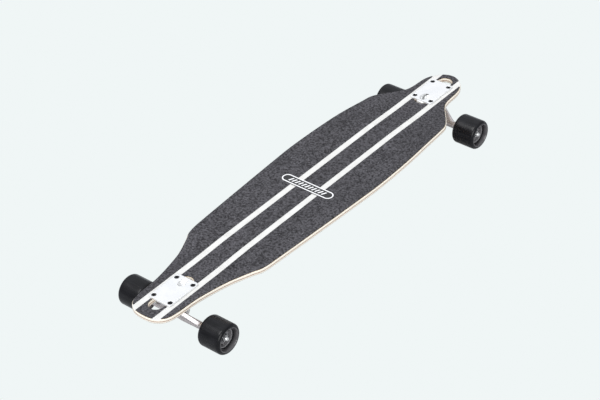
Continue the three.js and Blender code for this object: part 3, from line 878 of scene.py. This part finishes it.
def hanger_prototype():
    """A ring for the bushings, a tube for the axle, webs between them, and a pivot pin."""
    def circle(radius, along, down):
        return [
            steer(along, down + radius * math.sin(a), radius * math.cos(a))
            for a in np.radians(np.arange(0, 360, 15))
        ]

    web = []
    for side in (-1, 1):
        web += [steer(KINGPIN_AT + 11, d, side * 13) for d in (-4, 4)]
        web += [steer(3.5, RAKE + d, side * 62) for d in (-4, 4)]
        web += [steer(-4, RAKE + d, side * 62) for d in (-5, 5)]
    body = bar("hanger", 17, on_kingpin(-RING_HALF), on_kingpin(RING_HALF), 64)
    reach = Vector((HANGER_HALF - 6, 0, 0))
    tube = bar("tube", 7.4, AXLE_POINT - reach, AXLE_POINT + reach)
    reach = Vector((HANGER_HALF, 0, 0))
    neck = bar("neck", 6.6, AXLE_POINT - reach, AXLE_POINT + reach)
    stem = convex("stem", [*circle(6.4, -9.2, 0), *circle(11.5, 6, 5)])
    pin = bar("pin", PIVOT_RADIUS, steer(-7, 0), steer(-14.9, 0))
    tip = bar("tip", PIVOT_RADIUS, steer(-14.9, 0), steer(-16.4, 0), 48, 4.0)
    merge(body, tube, neck, convex("web", web), stem, pin, tip)
    for side in (-1, 1):
        gusset = [steer(KINGPIN_AT - 12, 2, side * 12), steer(2, RAKE + 7.4, side * 58)]
        gusset += [steer(-2, RAKE + 7.4, side * 58), steer(-2, RAKE + 8.6, side * 6)]
        gusset += [steer(4, RAKE - 6, side * 40), steer(0, RAKE - 6, side * 6)]
        merge(body, convex("gusset", gusset))
    cast(body, 0.8)
    past = Vector((HANGER_HALF + 2, 0, 0))
    face = Vector((HANGER_HALF - 0.3, 0, 0))
    return cut(
        body,
        bar("ring_bore", 7.5, on_kingpin(-14), on_kingpin(14)),
        bar("road_seat", 14.3, on_kingpin(RING_SEAT), on_kingpin(21), 64),
        bar("board_seat", 14.3, on_kingpin(-RING_SEAT), on_kingpin(-12), 64),
        bar("axle_bore", 4.1, AXLE_POINT - past, AXLE_POINT + past),
        bar("face_a", 12, AXLE_POINT + face, AXLE_POINT + past),
        bar("face_b", 12, AXLE_POINT - face, AXLE_POINT - past),
    )


def hex_nut(name, radius, start, end, hole, collar):
    """A hexagon nut with eased corners and a bore, and a low round collar at its far end."""
    a, b = Vector(start), Vector(end)
    d = (b - a).normalized()
    flat_to = (b - a).length - collar
    nut = bar(name, radius, a, b - d * collar, 6)
    flats = radius * math.cos(math.pi / 6)
    shape = turned("ease", [
        (-0.5, 0), (-0.5, flats), (0.05, flats + 0.05), (0.65, radius + 0.1),
        (flat_to - 0.65, radius + 0.1), (flat_to, flats), (flat_to + 0.5, 0),
    ], a, d, 48, closed=False)
    boolean(nut, "INTERSECT", shape)
    ring = turned("collar", [
        (0, hole), (0, 0.93 * flats), (0.75 * collar + 0.3, 0.90 * flats),
        (collar + 0.3, 0.8 * flats), (collar + 0.3, hole + 0.1),
    ], b - d * (collar + 0.3), d, 48)
    cut(nut, bar("bore", hole, a - d * 0.6, b + d))
    return merge(nut, ring)


def cup_washer(name, start, end, radius, lip):
    """A pressed cup washer: a flat disc whose rim turns over the bushing by lip millimetres."""
    a, b = Vector(start), Vector(end)
    thick = (b - a).length
    return turned(name, [
        (0, KINGPIN_BORE), (0, radius - 0.8), (0.35, radius - 0.1), (thick + lip, radius),
        (thick + lip, radius - 1.1), (thick, radius - 1.3), (thick, KINGPIN_BORE),
    ], a, b - a, 64)


def thread(start, stop, pitch, radius, depth, rise):
    """A thread's crests and roots as (along, radius) points, with each root rise past its crest."""
    points, at = [], start
    while at < stop:
        points += [(at, radius), (at + rise, radius - depth)]
        at += pitch
    return points


def kingpin_prototype():
    """A hexagon-headed bolt, with its head towards the board."""
    head = bar("kingpin", 8.0, on_kingpin(HEAD_FROM), on_kingpin(HEAD_TO), 6)
    shank = [(-31.3, 0), (-31.3, KINGPIN_RADIUS), (17, KINGPIN_RADIUS)]
    shank += thread(17.0, 28.2, 1.2, KINGPIN_RADIUS, 0.55, 0.6)
    shank += [(28.6, 4.6), (KINGPIN_END, 3.8), (KINGPIN_END, 0)]
    pin = turned("shank", shank, on_kingpin(0), DOWN, 40, closed=False)
    return boolean(bevelled(head, 0.5), "UNION", pin)


def deck_bolt_prototype():
    """A flat-head screw with a hexagon socket, its head's top at the origin."""
    profile = [
        (0, 0), (0, 4.55), (0.25, 4.8), (0.6, 4.8), (3.0, BOLT_RADIUS), (12.0, BOLT_RADIUS),
        *thread(12.0, 20.6, 0.8, BOLT_RADIUS, 0.35, 0.4), (20.9, 2.3), (21.5, 1.7), (21.5, 0),
    ]
    bolt = turned("bolt", profile, (0, 0, 0), (0, 0, -1), 32, closed=False)
    return cut(bolt, bar("socket", 1.9, (0, 0, -2.0), (0, 0, 1), 6))


def bushing_profile(length, start, end, waist):
    """A bushing's section: its sides drawn in or swelled a little between two eased rims."""
    outer = []
    for t in np.linspace(0, 1, 9):
        outer.append((t * length, start + (end - start) * t + waist * math.sin(math.pi * t)))
    outer[0] = (0.5, outer[0][1])
    outer[-1] = (length - 0.5, outer[-1][1])
    return [(0, KINGPIN_BORE), (0, start - 0.5), *outer, (length, end - 0.5),
            (length, KINGPIN_BORE)]


def axle_prototype():
    smooth_to = AXLE_HALF - 13
    right = [
        (smooth_to, AXLE_RADIUS),
        *thread(smooth_to + 0.1, AXLE_HALF - 1.3, 1.1, AXLE_RADIUS, 0.45, 0.5),
        (AXLE_HALF - 0.9, AXLE_RADIUS - 0.1), (AXLE_HALF, AXLE_RADIUS - 0.9), (AXLE_HALF, 0),
    ]
    profile = [(-along, r) for along, r in reversed(right)] + right
    return turned("axle", profile, AXLE_POINT, (1, 0, 0), 40, closed=False)


def trucks():
    baseplate, hanger, kingpin = baseplate_prototype(), hanger_prototype(), kingpin_prototype()
    bolt, axle = deck_bolt_prototype(), axle_prototype()
    lock_nut = hex_nut("kingpin_nut", 8.1, on_kingpin(LOCK_NUT_FROM), on_kingpin(LOCK_NUT_TO),
                       4.9, 2.2)
    deck_nut = hex_nut("deck_nut", 5.5, (0, 0, 0), (0, 0, -5.5), 2.45, 1.6)
    washers = {
        "boardside": cup_washer("w", on_kingpin(BLOCK_SEAT + 0.1), on_kingpin(BOARDSIDE_FROM),
                                14.6, 2.0),
        "roadside": cup_washer("w", on_kingpin(LOCK_NUT_FROM - 0.2), on_kingpin(ROADSIDE_TO),
                               12.0, 1.6),
    }
    bushings = {
        "boardside": turned("b", bushing_profile(BOARDSIDE_LENGTH, 12.6, 13.6, 0.7),
                            on_kingpin(BOARDSIDE_FROM), DOWN, 64),
        "roadside": turned("b", bushing_profile(ROADSIDE_LENGTH, 13.4, 10.6, -0.5),
                           on_kingpin(RING_SEAT), DOWN, 64),
    }
    cup = turned("cup", [
        (-8.3, 0), (-8.3, 7.9), (-7.8, 8.4), (0, 8.4), (0.6, 7.9), (0.6, 6.3), (0, 5.65), (-6.6, 5.65),
        (-6.7, 0),
    ], steer(-9.9, 0), STEER, 48, closed=False)
    for end, sign in ENDS.items():
        matrix, body = truck_matrix(sign), f"{end}_truck"
        place(stamp(f"{end}_baseplate_casting", baseplate, matrix), "board", "cast_metal", PLATE_CAST_LIT,
              f"{end}_baseplate", sharp=40)
        place(stamp(f"{end}_hanger_casting", hanger, matrix), body, "cast_metal", HANGER_CAST_SHADED,
              f"{end}_hanger", sharp=40)
        place(stamp(f"{end}_kingpin_bolt", kingpin, matrix), "board", "bright_steel", BRIGHT,
              f"{end}_kingpin")
        place(stamp(f"{end}_kingpin_lock_nut", lock_nut, matrix), "board", "bright_steel", BRIGHT,
              f"{end}_kingpin_nut")
        place(stamp(f"{end}_axle_bar", axle, matrix), body, "bright_steel", BRIGHT, f"{end}_axle")
        place(stamp(f"{end}_pivot_cup_moulding", cup, matrix), "board", "cup_plastic", CUP,
              f"{end}_pivot_cup")
        for where, washer in washers.items():
            place(stamp(f"{end}_{where}_cup_washer", washer, matrix), "board", "bright_steel",
                  BRIGHT, f"{end}_{where}_washer")
        for where, soft in bushings.items():
            bushing(f"{end}_{where}_soft_bushing", stamp("soft", soft, matrix), end, where)
        for k, (i, j) in enumerate(((1, 1), (-1, 1), (-1, -1), (1, -1)), 1):
            head = Vector((i * BOLT_X, j * BOLT_V, PLATE_THICKNESS - 0.5)) * MM
            under = Vector((i * BOLT_X, j * BOLT_V, -DECK_THICKNESS)) * MM
            place(stamp(f"{end}_flat_bolt_{k}", bolt, matrix @ Matrix.Translation(head)),
                  "board", "black_steel", BLACK_STEEL, f"{end}_deck_bolt_{k}")
            place(stamp(f"{end}_lock_nut_{k}", deck_nut, matrix @ Matrix.Translation(under)),
                  "board", "bright_steel", BRIGHT, f"{end}_deck_nut_{k}")
    for prototype in (baseplate, hanger, kingpin, bolt, axle, lock_nut, deck_nut, cup,
                      *washers.values(), *bushings.values()):
        bpy.data.objects.remove(prototype)


def bushing(name, obj, end, where):
    """A bushing between the board and the truck, flat on its washer and its ring: named, shaded and
    baked in place.
    """
    obj.name = name
    surface(obj, 40, BUSHING)
    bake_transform(obj)
    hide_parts(f"{end}_{where}_bushing")


# ---- wheels, made about their own centres with +X pointing away from the board ----

WHEEL_RADIUS, WHEEL_HALF, WHEEL_ROUNDING, WHEEL_LIP = 32.0, 27.0, 6.6, 24.4
CORE_RADIUS, CORE_HALF, CORE_RIM, HUB, HUB_HALF = 20.0, 16.8, 17.4, 13.8, 12.3
BEARING_RADIUS, BEARING_WIDTH, SPACER_HALF = 11.0, 7.0, 5.0


def mirrored(side):
    """A closed section from its right-hand half."""
    return [*side, *[(-x, r) for x, r in reversed(side)]]


def tyre_prototype():
    centre, low = WHEEL_HALF - WHEEL_ROUNDING, WHEEL_RADIUS - WHEEL_ROUNDING
    edge = [(centre + WHEEL_ROUNDING * math.cos(a), low + WHEEL_ROUNDING * math.sin(a))
            for a in np.radians(np.linspace(8, 90, 10))]
    lip = [(CORE_HALF, CORE_RADIUS + 0.05), (CORE_HALF + 1.2, CORE_RADIUS + 0.3),
           (WHEEL_HALF - 1.6, WHEEL_LIP - 0.5), (WHEEL_HALF - 0.5, WHEEL_LIP + 0.1),
           (WHEEL_HALF - 0.05, WHEEL_LIP + 0.9)]
    crown = [(centre * t, WHEEL_RADIUS) for t in (0.75, 0.5, 0.25)]
    tyre = turned("tyre", mirrored([*lip, *edge, *crown]), (0, 0, 0), (1, 0, 0), 96)
    radii = [math.hypot(v.co.y, v.co.z) / MM for v in tyre.data.vertices]
    tread = tyre.data.attributes.new("tread", "FLOAT", "POINT")
    tread.data.foreach_set("value", [min(max((r - 30) / 2, 0), 1) for r in radii])
    # Marks the lip ring, which the tyre material makes glossier and paints lighter as a highlight.
    lip_gloss_and_highlight = tyre.data.attributes.new("lip", "FLOAT", "POINT")
    lip_gloss_and_highlight.data.foreach_set("value", [float(22 < r < WHEEL_LIP + 1) for r in radii])
    return tyre


def core_prototype():
    """A hub and a rim joined by a web, with pockets that leave spokes on both faces."""
    web_half, disc_half, spokes = 1.6, 11.2, 8
    body = turned("core", mirrored([
        (SPACER_HALF, 9.0), (SPACER_HALF, BEARING_RADIUS + 0.03),
        (HUB_HALF - 0.5, BEARING_RADIUS + 0.03),
        (HUB_HALF, BEARING_RADIUS + 0.5), (HUB_HALF, HUB - 0.5), (HUB_HALF - 0.5, HUB),
        (disc_half, HUB + 0.2), (disc_half, CORE_RIM), (CORE_HALF - 0.6, CORE_RIM + 0.1),
        (CORE_HALF, CORE_RIM + 0.7), (CORE_HALF, CORE_RADIUS),
    ]), (0, 0, 0), (1, 0, 0), 96)
    pockets = []
    for k in range(spokes):
        middle = 360 / spokes * (k + 0.5)
        spread = 360 / spokes / 2 - 5.5
        outer = arc((0, 0), CORE_RIM - 0.1, middle - spread, middle + spread, 7)
        inner = arc((0, 0), HUB + 0.1, middle + spread, middle - spread, 7)
        for low, high in ((web_half, disc_half + 2), (-disc_half - 2, -web_half)):
            rings = [[(x, y, z) for y, z in [*outer, *inner]] for x in (low, high)]
            pockets.append(loft("pocket", rings))
    return cut(body, merge(*pockets))


def bearing_prototype():
    """A 608 bearing from 0 to its width: two races with a sunk shield between them."""
    half, sunk = BEARING_WIDTH / 2, 0.45
    side = [
        (half - 0.3, AXLE_RADIUS + 0.06), (half, AXLE_RADIUS + 0.35), (half, 6.1), (half - sunk, 6.2),
        (half - sunk, 9.3), (half, 9.4), (half, 10.6), (half - 0.35, BEARING_RADIUS - 0.02),
    ]
    bearing = turned("bearing", mirrored(side), (half, 0, 0), (1, 0, 0), 64)
    surface(bearing, 35, GROUND, SHIELD)
    for polygon in bearing.data.polygons:
        radius = math.hypot(polygon.center.y, polygon.center.z) / MM
        polygon.material_index = int(6.2 < radius < 9.32)
    return bearing


def wheels():
    tyre, core, bearing = tyre_prototype(), core_prototype(), bearing_prototype()
    nut = hex_nut("axle_nut", 6.9, (0, 0, 0), (7.5, 0, 0), AXLE_RADIUS + 0.1, 2.0)
    washer = turned("washer", [(0, 4.1), (0, 6.3), (0.2, 6.5), (0.6, 6.5), (0.75, 6.3), (0.75, 4.1)],
                    (0, 0, 0), (1, 0, 0), 40)
    spacer = turned("spacer", [(-4.95, 4.15), (-4.95, 5.3), (4.95, 5.3), (4.95, 4.15)],
                    (0, 0, 0), (1, 0, 0), 32)
    for end in ENDS:
        for hand, side in HANDS.items():
            joint = JOINTS[f"{end}_{hand}_wheel_spin"]
            turn = Matrix.Rotation(0 if side > 0 else math.pi, 4, "Z")
            matrix = Matrix.Translation(joint["pos_m"]) @ turn
            name, wheel, truck = f"{end}_{hand}", f"{end}_{hand}_wheel", f"{end}_truck"
            place(stamp(f"{name}_tyre_moulding", tyre, matrix), wheel, "tyre_urethane", TYRE,
                  f"{name}_tyre")
            place(stamp(f"{name}_spoked_core", core, matrix), wheel, "wheel_core", CORE,
                  f"{name}_core")
            for which, low in (("inner", -SPACER_HALF - BEARING_WIDTH), ("outer", SPACER_HALF)):
                shift = Matrix.Translation((low * MM, 0, 0))
                place(stamp(f"{name}_{which}_ball_bearing", bearing, matrix @ shift), wheel,
                      "bearing_steel", None, f"{name}_{which}_bearing")
            reach = SPACER_HALF + BEARING_WIDTH
            nut_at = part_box(f"{name}_axle_nut")[0 if side > 0 else 1].x / MM
            nut_shift = Matrix.Translation((abs(nut_at) * MM - abs(joint["pos_m"][0]), 0, 0))
            place(stamp(f"{name}_wheel_nut", nut, matrix @ nut_shift), truck, "bright_steel",
                  BRIGHT, f"{name}_axle_nut")
            for which, low in (("inner", -reach - 0.78), ("outer", reach + 0.03)):
                shift = Matrix.Translation((low * MM, 0, 0))
                place(stamp(f"{name}_{which}_speed_washer", washer, matrix @ shift), truck,
                      "bright_steel", BRIGHT)
            place(stamp(f"{name}_bearing_spacer", spacer, matrix), truck, "bright_steel", BRIGHT)
    for prototype in (tyre, core, bearing, nut, washer, spacer):
        bpy.data.objects.remove(prototype)


# ---- stage ----


BACKDROP = (0.871, 0.921, 0.921)


def floor():
    """A pale floor that the camera sees as one even tone, without a shadow. It lies low enough
    that a wheel on a fully steered truck stays above it."""
    s = Shader("studio_floor", roughness=0.9)
    seen = s.node("ShaderNodeLightPath").outputs["Is Camera Ray"]
    s.set("Base Color", s.mix(seen, (0.52, 0.53, 0.54), (0.0, 0.0, 0.0)))
    s.set("Specular IOR Level", 0.0)
    s.set("Emission Color", s.mix(seen, (0.0, 0.0, 0.0), BACKDROP))
    s.set("Emission Strength", 1.0)
    mesh = bpy.data.meshes.new("studio_floor")
    reach, level = 12, -0.032
    corners = [(-reach, -reach), (reach, -reach), (reach, reach), (-reach, reach)]
    mesh.from_pydata([(x, y, level) for x, y in corners], [], [(0, 1, 2, 3)])
    obj = link("studio_floor", mesh)
    mesh.materials.append(s.material)


def lights():
    """A dome of light, dim at the horizon and bright overhead, and two soft suns."""
    world = bpy.data.worlds.new("studio")
    bpy.context.scene.world = world
    world.use_nodes = True
    tree = world.node_tree
    background = tree.nodes["Background"]
    mix = tree.nodes.new("ShaderNodeMix")
    mix.data_type = "RGBA"
    mix.inputs[7].default_value = (*BACKDROP, 1)
    height = tree.nodes.new("ShaderNodeSeparateXYZ")
    tree.links.new(tree.nodes.new("ShaderNodeTexCoord").outputs["Generated"], height.inputs[0])
    sky = tree.nodes.new("ShaderNodeValToRGB")
    sky.color_ramp.elements[0].position = 0.0
    sky.color_ramp.elements[0].color = (0.30, 0.31, 0.33, 1)
    sky.color_ramp.elements[1].position = 1.0
    sky.color_ramp.elements[1].color = (1.12, 1.15, 1.20, 1)
    middle = sky.color_ramp.elements.new(0.4)
    middle.color = (0.60, 0.62, 0.65, 1)
    tree.links.new(height.outputs["Z"], sky.inputs["Fac"])
    tree.links.new(sky.outputs["Color"], mix.inputs[6])
    seen = tree.nodes.new("ShaderNodeLightPath").outputs["Is Camera Ray"]
    tree.links.new(seen, mix.inputs["Factor"])
    tree.links.new(mix.outputs[2], background.inputs["Color"])
    for name, energy, size, direction in (
        ("key", 1.2, 30, (0.25, 0.45, -1.0)),
        ("fill", 1.3, 40, (-0.75, 0.6, -0.45)),
    ):
        lamp = bpy.data.lights.new(name, "SUN")
        lamp.energy = energy
        lamp.angle = math.radians(size)
        obj = bpy.data.objects.new(name, lamp)
        obj.rotation_mode = "QUATERNION"
        obj.rotation_quaternion = Vector(direction).to_track_quat("-Z", "Y")
        bpy.context.scene.collection.objects.link(obj)


def camera():
    """A long lens above the tail's right, turned a little about its own line of sight."""
    azimuth, elevation, roll = math.radians(41.81), math.radians(36.76), math.radians(-3.924)
    eye = Vector((1.98351, -2.25406 + MIDDLE_Y * MM, 2.20822 + DECK_TOP * MM))
    back = Vector((
        math.sin(azimuth) * math.cos(elevation),
        -math.cos(azimuth) * math.cos(elevation),
        math.sin(elevation),
    ))
    right = Vector((math.cos(azimuth), math.sin(azimuth), 0))
    up = back.cross(right)
    turned_right = right * math.cos(roll) + up * math.sin(roll)
    turned_up = up * math.cos(roll) - right * math.sin(roll)
    data = bpy.data.cameras.new("camera")
    data.lens, data.sensor_width = 111.49, 36
    data.clip_start, data.clip_end = 0.1, 50
    obj = bpy.data.objects.new("camera", data)
    axes = Matrix((turned_right, turned_up, back)).transposed().to_4x4()
    obj.matrix_world = Matrix.Translation(eye) @ axes
    bpy.context.scene.collection.objects.link(obj)
    bpy.context.scene.camera = obj


deck_board()
grip_strips()
centre_grip()
end_grips()
badge()
trucks()
wheels()
floor()
lights()
camera()
bpy.context.scene.view_settings.view_transform = "Standard"
